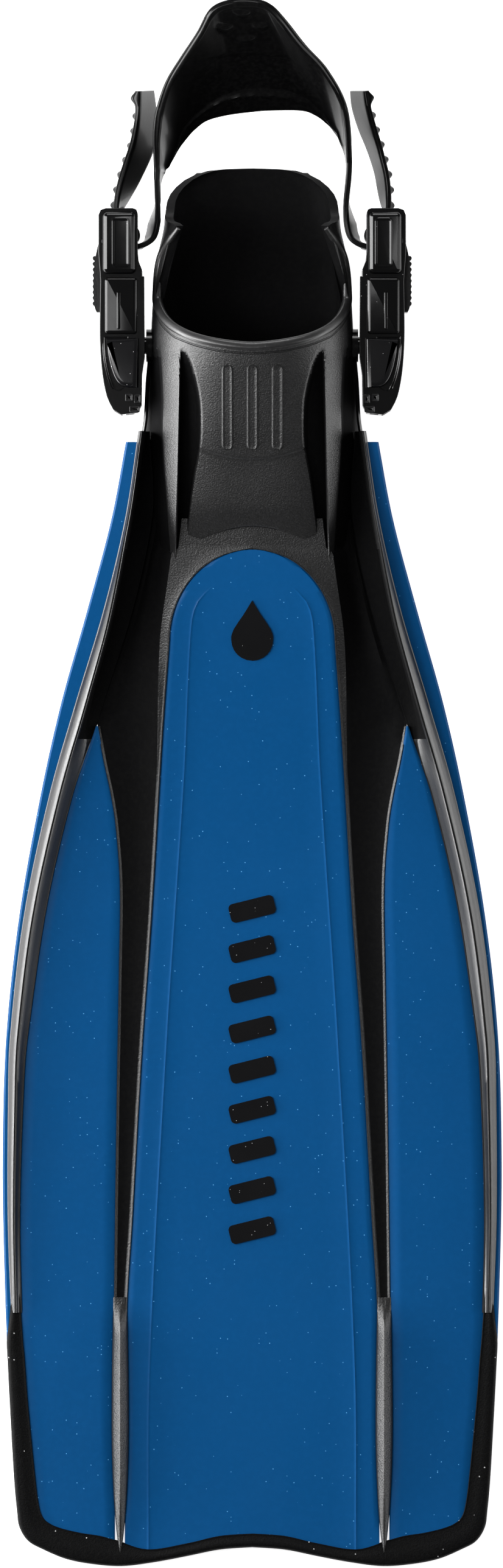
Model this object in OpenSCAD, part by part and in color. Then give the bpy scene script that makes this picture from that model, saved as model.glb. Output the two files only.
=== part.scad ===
// Open-heel swim fin. Millimetres, +Z up, blade tip toward -Y, heel strap toward +Y.
// Origin: on the floor, under the middle of the whole fin.

/* [Blade] */
// Thickness of the blade plate
blade_t = 3.0; // [2.4:0.1:3.6]
// Height of the channel inserts above the blade
insert_h = 1.6; // [1:0.1:2.4]
// Height of the keel ribs above the blade near the tip
keel_h = 4.2; // [2:0.1:6]
// Height of the tip bumper above the blade
bumper_h = 1.4; // [0.8:0.1:2]
// Number of slanted bars in the centre decoration
bar_count = 9; // [5:1:11]

/* [Foot pocket] */
// Wall thickness of the foot pocket
pocket_t = 4.0; // [3:0.1:5]
// Radius of the rolled rim round the foot opening
rim_r = 2.0; // [1.6:0.1:2.6]
// Thickness of the flat sole plate under the pocket
sole_t = 2.4; // [2:0.1:3]
// Depth of the sole's tread blocks
tread_h = 1.0; // [0.6:0.1:1.4]
// Height of the raised bars on the instep
instep_bar_h = 2.2; // [1.5:0.1:3]

/* [Buckles] */
// Height of the pivot posts above the floor
post_z = 45; // [44:0.5:46]
// Radius of the pivot post's pin
post_r = 4.0; // [3.5:0.1:4.5]
// Running clearance of pins in their bores, on the radius
run_fit = 0.05; // [0.03:0.01:0.1]
// Overall height of a buckle
buckle_h = 32; // [30:1:34]
// Thickness of the buckle cheeks
cheek_t = 3.5; // [3:0.1:3.8]
// Radius of the strap roller
roller_r = 4.7; // [4.2:0.1:4.7]
// Radius of the roller pin
roller_pin_r = 2.0; // [1.5:0.1:2.5]
// Number of grip ridges on a release lever
lever_ridges = 9; // [6:1:11]

/* [Strap] */
// Width of the strap
strap_w = 24; // [20:1:24]
// Thickness of the strap
strap_t = 2.6; // [2.2:0.1:2.8]
// Thickness of the heel pad
pad_t = 4.0; // [3:0.1:5]
// Spacing of the strap's teeth
tooth_pitch = 7.0; // [6:0.2:7.4]

/* [Hidden] */
$fn = 48;

// Stations along the fin, from tip to heel: [y, value]
BLADE_HALF = [[-342, 107.6], [-335, 108.4], [-284, 111.7], [-225, 114], [-172, 114.8],
    [-116, 113.1], [-60, 107], [-4, 97], [38, 87.5], [80, 75.6], [122, 64.4], [158, 57.6]];
RAIL_OUT = [[-246, 111], [-200, 112.6], [-144, 112.4], [-116, 111.5], [-60, 105],
    [-4, 93.1], [38, 81], [80, 68.3], [122, 58.3], [163, 52]];
RAIL_WIDTH = [[-246, 5.2], [-200, 5.9], [-144, 7.3], [-88, 9.5], [-4, 11.1], [24, 13],
    [122, 12.6], [163, 5]];
PANEL_IN = [[-246, 63.7], [-144, 62.3], [-88, 61.3], [-46, 60.8], [-18, 62.8], [-4, 65],
    [11, 68.2], [28, 71.2]];
CENTRE_HALF = [[-246, 57.6], [-200, 55], [-116, 50.1], [-60, 46], [24, 40.9], [66, 37.8]];
BLADE_Z = [[-361, 5], [-340, 5.6], [-280, 8.2], [-200, 12.8], [-120, 19.5], [-60, 27],
    [-20, 33], [24, 42], [66, 51.5], [108, 60], [164, 68]];
RAIL_UP = [[-246, 1.8], [-200, 3.4], [-120, 5], [0, 7], [100, 8], [164, 3]];
RAIL_DOWN = [[-246, 1.8], [-120, 5], [0, 9], [80, 14], [112, 18], [164, 22]];
POCKET_HALF = [[58, 20], [63, 33], [75, 43], [95, 50], [112, 52.6], [130, 52.4],
    [150, 50.8], [165, 49.2], [180, 48.3], [200, 46.8], [225, 45.4], [238, 44.2],
    [246, 42.6], [254, 40.8], [262, 40], [272, 39], [280, 32], [284, 22]];
POCKET_Z = [[58, 27], [63, 37], [75, 46], [95, 53], [108, 56.4], [114, 58], [117, 60],
    [121, 66], [126, 68.5], [150, 76], [165, 80], [200, 87.5], [206, 88], [225, 84],
    [245, 80], [284, 78]];
POCKET_FULL = [[58, 3.4], [100, 3.4], [150, 3.3], [185, 2.9], [204, 2.4], [225, 1.95],
    [250, 1.75], [284, 1.75]];
// Where each strip of the pocket ends at the heel: [angle round the section, y]
POCKET_END = [[-90, 284], [-60, 283], [-45, 280], [-30, 273], [-15, 266], [0, 261],
    [12, 258.5], [24, 257.5], [32, 256], [33, 222], [37, 218.3], [45, 213.2],
    [55, 208.1], [68, 204.1], [80, 201.4], [90, 200.3]];
// Height of the pocket's widest line, and how low the opening's edge sits on its sides
POCKET_LOW = [[58, 16], [140, 16], [170, 22], [195, 36], [206, 42], [220, 46], [250, 46],
    [262, 40], [284, 34]];
RIM_ANGLE = [[58, 33], [150, 33], [185, 24], [205, 14], [215, 12], [222, 10], [230, 7],
    [240, 8], [246, 14], [251, 22], [256, 30], [262, 33], [284, 33]];
tip_y = -360;
tip_notch = 8.9;
tip_lobe_x = 60;
sole_z = tread_h + sole_t;
toe_y = 58;

pivot_y = 201.5;
strap_low = post_z - strap_w / 2;
roller_x = 56;
roller_y = 252;
wrap_r = roller_r + 0.3 + strap_t / 2;
lever_x = 67.6;
lever_y = 249;
tail_x = roller_x + wrap_r;

function rise(t, i) = let (a = max(i - 1, 0), b = min(i + 1, len(t) - 1))
    (t[b][1] - t[a][1]) / (t[b][0] - t[a][0]);
function span(t, s, i = 0) = (i >= len(t) - 2 || s < t[i + 1][0]) ? i : span(t, s, i + 1);
// Smooth value of a station list at s
function at(t, s) = let (i = span(t, s), h = t[i + 1][0] - t[i][0],
    q = min(1, max(0, (s - t[i][0]) / h)))
    (2 * q * q * q - 3 * q * q + 1) * t[i][1] + (q * q * q - 2 * q * q + q) * h * rise(t, i)
    + (3 * q * q - 2 * q * q * q) * t[i + 1][1] + (q * q * q - q * q) * h * rise(t, i + 1);
// Straight-line value of a station list at s, for lists with sharp corners
function line_at(t, s) = let (i = span(t, s),
    q = min(1, max(0, (s - t[i][0]) / (t[i + 1][0] - t[i][0]))))
    t[i][1] * (1 - q) + t[i + 1][1] * q;
function steps(a, b, n) = [for (i = [0:n]) a + (b - a) * i / n];
function flip(p) = [for (i = [len(p) - 1:-1:0]) [-p[i][0], p[i][1]]];
function backward(p) = [for (i = [len(p) - 1:-1:0]) p[i]];
function both_sides(p) = concat(p, flip(p));
function pick(p, i) = p[min(max(i, 0), len(p) - 1)];
// Smooth curve through points, m steps between neighbours
function curve(p, m) = concat([for (i = [0:len(p) - 2], k = [0:m - 1]) let (q = k / m,
    a = pick(p, i - 1), b = p[i], c = p[i + 1], d = pick(p, i + 2))
    b + q * (c - a) / 2 + q * q * (a - 2.5 * b + 2 * c - d / 2)
    + q * q * q * (1.5 * b - a / 2 - 1.5 * c + d / 2)], [p[len(p) - 1]]);
function unit(v) = v / norm(v);
function side_of(p, i) = let (d = unit(pick(p, i + 1) - pick(p, i - 1))) [d[1], -d[0]];
// Outline of a ribbon of thickness t along a plan path
function ribbon(p, t) = concat([for (i = [0:len(p) - 1]) p[i] + side_of(p, i) * t / 2],
    backward([for (i = [0:len(p) - 1]) p[i] - side_of(p, i) * t / 2]));

// Solid between two height curves, running across the whole fin
module slab(low, high) {
    rotate([90, 0, 90])
        translate([0, 0, -130])
            linear_extrude(260)
                polygon(concat(low, backward(high)));
}
module prism(outline) {
    translate([0, 0, -5])
        linear_extrude(125)
            polygon(outline);
}
function blade_top(a, b, n, up = 0) = [for (y = steps(a, b, n)) [y, at(BLADE_Z, y) + up]];
function under(y, down) = max(0.2, at(BLADE_Z, y) - blade_t - down);

// Tip edge from the centre outward, and the corner
function tip_edge(in) = concat(
    [for (x = steps(0, tip_lobe_x, 10)) [x, tip_y + in + tip_notch / 2
        * (1 + cos(180 * x / tip_lobe_x))]],
    curve([[74 - in / 2, tip_y + 1 + in], [86 - in / 2, tip_y + 3.6 + in],
        [96.5 - in, tip_y + 8 + in], [104.6 - in, tip_y + 13.4 + in],
        [107.6 - in, tip_y + 20]], 3));
function edge(a, b, n, in = 0) = [for (y = steps(a, b, n)) [at(BLADE_HALF, y) - in, y]];
// Closed outline of the tip end, up to level top
function tip_region(in, top) = both_sides(concat(tip_edge(in), edge(-336, top, 8, in)));

function blade_outline() = both_sides(concat(tip_edge(2.5), edge(-336, -244, 6, 2.5),
    edge(-243, 157, 28), [for (y = steps(157, 112, 4)) [at(RAIL_OUT, y) + 0.2, y]]));
module blade_solid() {
    intersection() {
        prism(blade_outline());
        slab(blade_top(-361, 164, 30, -blade_t), blade_top(-361, 164, 30));
    }
}
module blade_plate() {
    color("RoyalBlue") blade_solid();
}

function rail_plan() = concat([for (y = steps(-241, 163, 26)) [at(RAIL_OUT, y), y]],
    [for (y = steps(163, -241, 26)) [at(RAIL_OUT, y) - at(RAIL_WIDTH, y), y]]);
module rail() {
    color("DimGray") difference() {
        intersection() {
            prism(rail_plan());
            slab([for (y = steps(-242, 164, 26)) [y, under(y, at(RAIL_DOWN, y))]],
                [for (y = steps(-242, 164, 26)) [y, at(BLADE_Z, y) + at(RAIL_UP, y)]]);
        }
        blade_solid();
    }
}
module rail_right() rail();
module rail_left() mirror([1, 0, 0]) rail();

// Arched upper end of the centre panel, then its sides
function centre_arch(n) = [for (a = steps(90, 0, n)) [37.8 * cos(a), 66 + 41.8 * sin(a)]];
function insert_plan() = concat([[0, 118.2]], curve([[14, 116.4], [29, 109], [37, 101]], 3),
    [for (y = steps(98, 30, 8)) [at(RAIL_OUT, y) - at(RAIL_WIDTH, y), y]],
    [for (y = steps(27, -241, 16)) [at(PANEL_IN, y), y]],
    [for (y = steps(-241, 60, 16)) [at(CENTRE_HALF, y), y]], backward(centre_arch(10)));
function keel_plan() = let (a = -241, b = -354, x = 60.8)
    concat([for (s = steps(0, 1, 12)) [x + 3.9 * pow(sin(180 * s), 0.6), a + (b - a) * s]],
    [for (s = steps(1, 0, 12)) [x - 3.9 * pow(sin(180 * s), 0.6), a + (b - a) * s]]);
module channel_insert() {
    color("SlateGray") difference() {
        union() {
            intersection() {
                prism(insert_plan());
                slab(blade_top(-242, 120, 24, -blade_t - insert_h),
                    blade_top(-242, 120, 24, insert_h));
            }
            intersection() {
                prism(keel_plan());
                slab([for (y = steps(-355, -240, 8)) [y, under(y, 1.6)]],
                    blade_top(-355, -240, 8, keel_h));
            }
        }
        blade_solid();
    }
}
module insert_right() channel_insert();
module insert_left() mirror([1, 0, 0]) channel_insert();

BUMPER_WIDTH = [[-352, 9.6], [-325, 9.4], [-284, 8.4], [-243, 6.6]];
function bumper_hole() = both_sides(concat(
    [for (x = steps(0, 60, 10)) [x, tip_y + 6.4 + tip_notch / 2 * (1.1 + cos(3 * x))]],
    curve([[76, -352], [86, -347.6], [93, -341], [97.6, -333]], 3),
    [for (y = steps(-327, -243, 6)) [at(BLADE_HALF, y) - at(BUMPER_WIDTH, y), y]],
    [[95, -230]]));
module tip_bumper() {
    color("Gray") difference() {
        intersection() {
            prism(tip_region(0, -241));
            slab([[-362, 0], [-338, 0], [-300, 1.2], [-268, 2.6], [-240, 4.4]],
                blade_top(-362, -240, 10, bumper_h));
        }
        prism(bumper_hole());
        blade_solid();
    }
}

module decoration(outline_up) {
    intersection() {
        children();
        slab(blade_top(-240, 100, 20, -0.3), blade_top(-240, 100, 20, outline_up));
    }
}
// Water drop: round below, pointed above
module emblem() {
    color("Black") decoration(0.6)
        prism(concat([[0, 84.5]], curve([[4, 78], [8.4, 71.5], [9.6, 68]], 2),
            [for (a = steps(0, -180, 12)) [9.6 * cos(a), 66.5 + 9.6 * sin(a)]],
            curve([[-9.6, 68], [-8.4, 71.5], [-4, 78]], 2)));
}
// Column of plain slanted bars with rounded corners
bar_r = 2.2;
bar_half = [10.6, 4.4];
module graphic_bars() {
    color("Black") decoration(0.6)
        for (i = [0:bar_count - 1])
            translate([0, -57 - i * 148 / (bar_count - 1), -5])
                rotate([0, 0, 14])
                    linear_extrude(125) {
                        square([2 * bar_half[0], 2 * (bar_half[1] - bar_r)], center = true);
                        square([2 * (bar_half[0] - bar_r), 2 * bar_half[1]], center = true);
                        for (s = [-1, 1], t = [-1, 1])
                            translate([s * (bar_half[0] - bar_r), t * (bar_half[1] - bar_r)])
                                circle(r = bar_r);
                    }
}

// Point on the foot pocket: y along the fin, a round the section from the bottom centre
function bend(u, y) = let (r = at(RIM_ANGLE, y)) u < 0 ? u : u < 33 ? u * r / 33
    : r + (u - 33) * (90 - r) / 57;
function pocket_pt(y, a, in) = let (u = a > 90 ? 180 - a : a, w = at(POCKET_HALF, y) - in,
    z0 = at(POCKET_LOW, y), b = bend(u, y),
    e = u >= 0 ? 2 / at(POCKET_FULL, y) : 0.44 * pow(16 / z0, 0.6),
    x = w * pow(max(0, cos(b)), e), top = at(POCKET_Z, y) - in - z0)
    [a > 90 ? -x : x, y, u >= 0 ? z0 + top * pow(sin(b), e)
        : z0 - (z0 - sole_z - (in > 0 ? in : 0)) * pow(-sin(b), e)];
pocket_angles = let (h = [-90, -75, -60, -45, -32, -20, -10, 0, 6, 12, 18, 24, 28, 32.9, 33,
    36, 40, 45, 52, 60, 68, 76, 84]) concat(h, [90], [for (i = [len(h) - 1:-1:1])
    180 - h[i]]);
function end_y(a) = line_at(POCKET_END, a > 90 ? 180 - a : a);
pocket_rows = 26;
function pocket_grid(in) = [for (k = [0:pocket_rows], a = pocket_angles)
    let (s = k / pocket_rows, y0 = toe_y + in, y = y0 + (end_y(a) - y0)
        * (s < 0.12 ? s * 0.5 : 0.06 + (s - 0.12) * 0.94 / 0.88)) pocket_pt(y, a, in)];
// Closed skin between two grids with m columns that close on themselves
module double_skin(outer, inner, m) {
    n = len(outer) / m;
    o = len(outer);
    polyhedron(concat(outer, inner), concat(
        [for (i = [0:n - 2], j = [0:m - 1], t = [0, 1]) let (b = (j + 1) % m)
            t == 0 ? [i * m + j, (i + 1) * m + j, (i + 1) * m + b]
            : [i * m + j, (i + 1) * m + b, i * m + b]],
        [for (i = [0:n - 2], j = [0:m - 1], t = [0, 1]) let (b = (j + 1) % m)
            t == 0 ? [o + i * m + j, o + (i + 1) * m + b, o + (i + 1) * m + j]
            : [o + i * m + j, o + i * m + b, o + (i + 1) * m + b]],
        [for (j = [0:m - 1], t = [0, 1]) let (b = (j + 1) % m, e = (n - 1) * m)
            t == 0 ? [e + j, o + e + j, o + e + b] : [e + j, o + e + b, e + b]],
        [[for (j = [0:m - 1]) j], [for (j = [m - 1:-1:0]) o + j]]));
}
module foot_pocket() {
    color("DarkSlateGray")
        double_skin(pocket_grid(0), pocket_grid(pocket_t), len(pocket_angles));
}

// Rolled bead along the edge of the foot opening, from one ear to the other
rim_angles = concat([33, 36, 40, 45, 52, 60, 68, 76, 84, 90]);
function rim_side() = concat([for (y = [255, 250, 244, 238, 232, 226])
    pocket_pt(y, 32.9, 1.3)], [for (a = rim_angles) pocket_pt(end_y(a), a, 1.3)]);
rim_path = let (h = rim_side()) concat(h, [for (i = [len(h) - 2:-1:0])
    [-h[i][0], h[i][1], h[i][2]]]);
module tube(path, r, m) {
    n = len(path);
    pts = [for (i = [0:n - 1]) let (d = unit(pick(path, i + 1) - pick(path, i - 1)),
        u = unit(cross(d, [0.3 * path[i][0] / 45, 0.1, 1])), v = cross(d, u))
        for (j = [0:m - 1]) path[i] + r * (cos(360 * j / m) * u + sin(360 * j / m) * v)];
    polyhedron(pts, concat([for (i = [0:n - 2], j = [0:m - 1], t = [0, 1])
        let (b = (j + 1) % m) t == 0 ? [i * m + j, i * m + b, (i + 1) * m + b]
        : [i * m + j, (i + 1) * m + b, (i + 1) * m + j]],
        [[for (j = [m - 1:-1:0]) j], [for (j = [0:m - 1]) (n - 1) * m + j]]));
}
module pocket_rim() {
    color("SlateGray") tube(rim_path, rim_r, 12);
}

// Three flat bars and two long ridges standing on the instep
function ridge_x(y) = 33 + (201 - y) * 0.022;
function skin_z(x, y) = let (n = at(POCKET_FULL, y), z0 = at(POCKET_LOW, y))
    z0 + (at(POCKET_Z, y) - z0) * pow(1 - pow(x / at(POCKET_HALF, y), n), 1 / n);
function ridge_z(y) = skin_z(ridge_x(y), y);
module instep_bars() {
    color("SlateGray") {
        intersection() {
            union() {
                for (x = [-11.4, 0, 11.4])
                    translate([x, 0, 0]) {
                        translate([-2.7, 155.6, 0]) cube([5.4, 33.8, 120]);
                        translate([0, 155.6, 0]) cylinder(r = 2.7, h = 120);
                        translate([0, 189.4, 0]) cylinder(r = 2.7, h = 120);
                    }
            }
            slab([for (y = steps(150, 194, 6)) [y, at(POCKET_Z, y) - 2.4]],
                [for (y = steps(150, 194, 6)) [y, at(POCKET_Z, y) + instep_bar_h - 1]]);
        }
        for (s = [-1, 1])
            intersection() {
                prism(concat([for (y = steps(94, 197, 10)) [s * (ridge_x(y) - 1.7), y]],
                    [for (y = steps(197, 94, 10)) [s * (ridge_x(y) + 1.7), y]]));
                slab([for (y = steps(93, 201, 10)) [y, ridge_z(y) - 3]],
                    [for (y = steps(93, 201, 10)) [y, ridge_z(y) + 5
                        * pow(sin(180 * pow((y - 91) / 112, 0.8)), 0.7)]]);
            }
    }
}

function sole_half(y) = at(POCKET_HALF, y) * 0.93;
module sole_plate() {
    color("Black") {
        translate([0, 0, tread_h])
            linear_extrude(sole_t)
                polygon(both_sides([for (y = steps(64, 282, 22)) [sole_half(y), y]]));
        for (row = [0:12])
            let (y = 76 + row * 15.6, half = sole_half(y) - 5)
            for (c = [-2:2])
                translate([c * half / 2.5 - half / 5 + 1, y - 4, 0])
                    cube([half / 2.5 - 2, 9, tread_h + 0.5]);
    }
}

module along_x(x0, x1, r) {
    translate([x0, pivot_y, post_z])
        rotate([0, 90, 0])
            cylinder(r = r, h = x1 - x0);
}
// Pivot post: flange on the pocket wall, then the pin
module post() {
    color("Silver") {
        along_x(43.6, 48.6, 7.6);
        along_x(48.6, 62.8, post_r);
    }
}
module post_right() post();
module post_left() mirror([1, 0, 0]) post();
module post_cap() {
    color("Gray") difference() {
        along_x(62.8, 65.2, 6.2);
        translate([64.2, pivot_y - 4, post_z - 0.7]) cube([2, 8, 1.4]);
    }
}
module post_cap_right() post_cap();
module post_cap_left() mirror([1, 0, 0]) post_cap();

function arm_plan() = concat([[49.4, 233], [49.2, 196], [50.4, 188], [50.6, 174],
    [52.4, 170.4], [60, 169.6]], curve([[63.6, 171.8], [66.6, 178], [68.6, 188],
    [69.6, 200], [69.8, 212], [69.4, 233]], 3));
function cheek_plan() = concat([[50.4, 230], [50.4, 236]], curve([[52, 240], [52.4, 244]], 2),
    [[52.4, 262]], curve([[53, 263.6], [54.6, 264.2]], 2), [[67, 264.2]],
    curve([[69.4, 263.4], [70.4, 261]], 2), [[70.4, 244], [69.4, 230]]);
module buckle_frame() {
    z0 = post_z - buckle_h / 2;
    color("DimGray") difference() {
        union() {
            translate([0, 0, z0]) linear_extrude(buckle_h) polygon(arm_plan());
            for (z = [z0, z0 + buckle_h - cheek_t])
                translate([0, 0, z]) linear_extrude(cheek_t) polygon(cheek_plan());
            translate([64.6, 225, z0 + 1]) cube([1.6, 12, buckle_h - 2]);
        }
        along_x(40, 80, post_r + run_fit);
        along_x(62.2, 80, 6.6);
        // room for the lever's handle
        translate([66.2, 213, z0 + cheek_t]) cube([8, 24, buckle_h - 2 * cheek_t]);
        // cored lower end
        for (x = [54, 59.4])
            translate([x, 165, z0 + 5]) cube([3.8, 15, buckle_h - 10]);
        // recess for the textured panel
        translate([0, 0, z0 + buckle_h - 1.2])
            linear_extrude(3) polygon(panel_plan(0.1));
        translate([roller_x, roller_y, 0]) cylinder(r = roller_pin_r, h = 100);
        translate([lever_x, lever_y, 0]) cylinder(r = 1.5, h = 100);
    }
}
function panel_plan(g) = concat([[57.2 - g, 205 + g], [57.2 - g, 183 - g]],
    curve([[61, 180.4 - g], [64.6 + g, 182.6], [66.6 + g, 190], [67.4 + g, 198],
    [67.6 + g, 205 + g]], 3));
module buckle_frame_right() buckle_frame();
module buckle_frame_left() mirror([1, 0, 0]) buckle_frame();
module arm_panel() {
    color("SlateGray")
        translate([0, 0, post_z + buckle_h / 2 - 1.2])
            linear_extrude(0.8) polygon(panel_plan(0));
}
module arm_panel_right() arm_panel();
module arm_panel_left() mirror([1, 0, 0]) arm_panel();

module upright(x, y, r, h) {
    translate([x, y, post_z - h / 2]) cylinder(r = r, h = h);
}
module roller_pin_right() color("Silver") upright(roller_x, roller_y, roller_pin_r, 32);
module roller_pin_left() mirror([1, 0, 0]) roller_pin_right();
module lever_pin_right() color("Silver") upright(lever_x, lever_y, 1.5, 32);
module lever_pin_left() mirror([1, 0, 0]) lever_pin_right();
module roller_right() {
    color("Gray") difference() {
        upright(roller_x, roller_y, roller_r, strap_w);
        upright(roller_x, roller_y, roller_pin_r + run_fit, 40);
    }
}
module roller_left() mirror([1, 0, 0]) roller_right();
// Torsion spring round the lever pin: three turns
module lever_spring_right() {
    color("Silver")
        for (i = [-1:1])
            translate([lever_x, lever_y, post_z + i * 1.3])
                rotate_extrude() translate([2.2, 0]) circle(r = 0.45, $fn = 24);
}
module lever_spring_left() mirror([1, 0, 0]) lever_spring_right();

function handle_plan() = concat([[69.6, 216.6], [69.3, 240], [68, 245.2], [66.6, 247.6]],
    [[70, 250], [71.4, 244]], curve([[72.2, 240], [72.8, 230], [72.4, 220],
    [71.2, 216.6]], 3));
module release_lever_right() {
    color("SlateGray") difference() {
        union() {
            translate([0, 0, post_z - 11]) linear_extrude(22) polygon(handle_plan());
            upright(lever_x, lever_y, 2.9, 22);
            // pawl that stops at the strap's teeth
            translate([0, 0, post_z - 11])
                linear_extrude(22)
                    polygon([[66.4, 250.6], [65.6, 257.4], [67, 259.6], [69.6, 257.6],
                        [70.2, 250]]);
            for (i = [0:lever_ridges - 1])
                translate([72.1, 220.6 + i * 2.6, post_z - 11])
                    cylinder(r = 1.0, h = 22);
        }
        upright(lever_x, lever_y, 1.5 + run_fit, 40);
        upright(lever_x, lever_y, 3.0, 5.6);
    }
}
module release_lever_left() mirror([1, 0, 0]) release_lever_right();

// Strap path in plan, from the arm round the roller and up to the tail
function wrap_path() = concat(curve([[42.9, 265], [42.9, 257.4], [44.5, 251.4],
    [48.2, 248.2], [roller_x + wrap_r * cos(240), roller_y + wrap_r * sin(240)]], 4),
    [for (a = steps(250, 360, 11)) [roller_x + wrap_r * cos(a), roller_y + wrap_r * sin(a)]],
    [[tail_x, 256], [tail_x, 262]]);
module band(outline) {
    translate([0, 0, strap_low]) linear_extrude(strap_w) polygon(outline);
}
module strap_wrap_right() color("DarkGray") band(ribbon(wrap_path(), strap_t));
module strap_wrap_left() mirror([1, 0, 0]) strap_wrap_right();
module strap_arm_right() {
    color("DarkGray") band(ribbon(curve([[42.9, 265.1], [43.4, 275], [44.2, 285]], 3),
        strap_t));
}
module strap_arm_left() mirror([1, 0, 0]) strap_arm_right();

TAIL = [[262.1, 62.3], [270, 62.5], [280, 61.6], [288, 59.2], [295.4, 56.6],
    [302.6, 53.4], [310.4, 50.6], [318, 49.4]];
// Tail with teeth on its outer face and a thumb grip at its end
module strap_tail_right() {
    color("DarkGray") translate([0, 0, strap_low + 1]) linear_extrude(strap_w - 2) {
        polygon(ribbon([for (y = steps(262.1, 318, 21)) [at(TAIL, y), y]], strap_t));
        for (i = [0:5])
            let (y = 267.4 + i * tooth_pitch)
            translate([at(TAIL, y) + strap_t / 2 - 0.3, y]) circle(r = 1.7);
        translate([50.2, 315.8]) circle(r = 2.5);
    }
}
module strap_tail_left() mirror([1, 0, 0]) strap_tail_right();

// Heel pad: a leaning curved shell between a lower and an upper edge
PAD_LOW = [[44.2, 285.1, 33], [43.5, 290, 34], [41, 296, 36], [36.5, 302, 39.5],
    [30, 306.5, 42.5], [22, 309.2, 45], [11, 310.4, 46.5], [0, 310.8, 47]];
PAD_HIGH = [[44.2, 285.1, 57], [44.6, 297, 62], [42.9, 309.5, 68], [37.6, 323.5, 76],
    [29.5, 334.8, 84.5], [21, 346, 92], [13, 355.6, 97], [0, 358.4, 98.4]];
function mirrored(p) = concat(p, [for (i = [len(p) - 2:-1:0]) [-p[i][0], p[i][1], p[i][2]]]);
pad_low = mirrored(curve(PAD_LOW, 3));
pad_high = mirrored(curve(PAD_HIGH, 3));
pad_rows = 6;
function pad_pt(i, k) = let (s = k / pad_rows) pick(pad_low, i) * (1 - s)
    + pick(pad_high, i) * s - [0, 0, 3 * sin(180 * s)] * min(1, i / 12, (42 - i) / 12);
function pad_normal(i, k) = let (j = min(max(i, 0), len(pad_low) - 1))
    unit(cross(pad_pt(min(j + 1, len(pad_low) - 1), k) - pad_pt(max(j - 1, 0), k),
    pad_pt(j, min(k + 1, pad_rows)) - pad_pt(j, max(k - 1, 0))));
function pad_thick(i) = strap_t + (pad_t - strap_t) * min(1, i / 9, (42 - i) / 9);
module heel_pad() {
    n = len(pad_low);
    m = 2 * (pad_rows + 1);
    pts = [for (i = [0:n - 1]) each concat(
        [for (k = [0:pad_rows]) pad_pt(i, k) - pad_normal(i, k) * pad_thick(i) / 2],
        [for (k = [pad_rows:-1:0]) pad_pt(i, k) + pad_normal(i, k) * pad_thick(i) / 2])];
    color("DarkGray") polyhedron(pts, concat(
        [for (i = [0:n - 2], j = [0:m - 1], t = [0, 1]) let (b = (j + 1) % m)
            t == 0 ? [i * m + j, i * m + b, (i + 1) * m + b]
            : [i * m + j, (i + 1) * m + b, (i + 1) * m + j]],
        [[for (j = [m - 1:-1:0]) j], [for (j = [0:m - 1]) (n - 1) * m + j]]));
}

blade_plate();
rail_left();
rail_right();
insert_left();
insert_right();
tip_bumper();
emblem();
graphic_bars();
foot_pocket();
pocket_rim();
instep_bars();
sole_plate();
post_left();
post_right();
post_cap_left();
post_cap_right();
buckle_frame_left();
buckle_frame_right();
arm_panel_left();
arm_panel_right();
roller_pin_left();
roller_pin_right();
lever_pin_left();
lever_pin_right();
lever_spring_left();
lever_spring_right();
roller_left();
roller_right();
release_lever_left();
release_lever_right();
strap_wrap_left();
strap_wrap_right();
heel_pad();
strap_arm_left();
strap_arm_right();
strap_tail_left();
strap_tail_right();
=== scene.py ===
import math

import bpy
import bmesh
import numpy as np
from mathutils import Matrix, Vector


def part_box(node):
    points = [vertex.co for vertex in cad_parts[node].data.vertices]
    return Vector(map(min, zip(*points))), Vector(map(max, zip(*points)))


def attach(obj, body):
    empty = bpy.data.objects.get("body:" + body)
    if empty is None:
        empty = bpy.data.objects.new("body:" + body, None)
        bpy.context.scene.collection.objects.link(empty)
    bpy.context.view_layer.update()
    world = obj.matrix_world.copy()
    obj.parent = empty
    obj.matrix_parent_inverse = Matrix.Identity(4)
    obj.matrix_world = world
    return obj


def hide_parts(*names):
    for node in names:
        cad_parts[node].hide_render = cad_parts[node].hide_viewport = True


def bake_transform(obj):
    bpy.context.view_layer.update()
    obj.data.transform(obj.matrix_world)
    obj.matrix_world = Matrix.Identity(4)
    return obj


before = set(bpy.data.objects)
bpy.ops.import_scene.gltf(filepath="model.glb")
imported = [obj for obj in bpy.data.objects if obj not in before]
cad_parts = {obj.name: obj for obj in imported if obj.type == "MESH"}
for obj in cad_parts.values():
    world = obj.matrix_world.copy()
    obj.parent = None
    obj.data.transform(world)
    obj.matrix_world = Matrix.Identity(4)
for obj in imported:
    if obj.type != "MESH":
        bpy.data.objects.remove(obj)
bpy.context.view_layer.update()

MM = 0.001
SIDES = (("right", 1), ("left", -1))


# ---------- curves shared with the frame, in millimetres ----------

def rise(t, i):
    a, b = max(i - 1, 0), min(i + 1, len(t) - 1)
    return (t[b][1] - t[a][1]) / (t[b][0] - t[a][0])


def at(t, s):
    """Smooth value of a station list at s."""
    i = 0
    while i < len(t) - 2 and s >= t[i + 1][0]:
        i += 1
    h = t[i + 1][0] - t[i][0]
    q = min(1, max(0, (s - t[i][0]) / h))
    return ((2 * q ** 3 - 3 * q * q + 1) * t[i][1] + (q ** 3 - 2 * q * q + q) * h * rise(t, i)
            + (3 * q * q - 2 * q ** 3) * t[i + 1][1] + (q ** 3 - q * q) * h * rise(t, i + 1))


def line_at(t, s):
    return float(np.interp(s, [a for a, _ in t], [b for _, b in t]))


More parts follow.
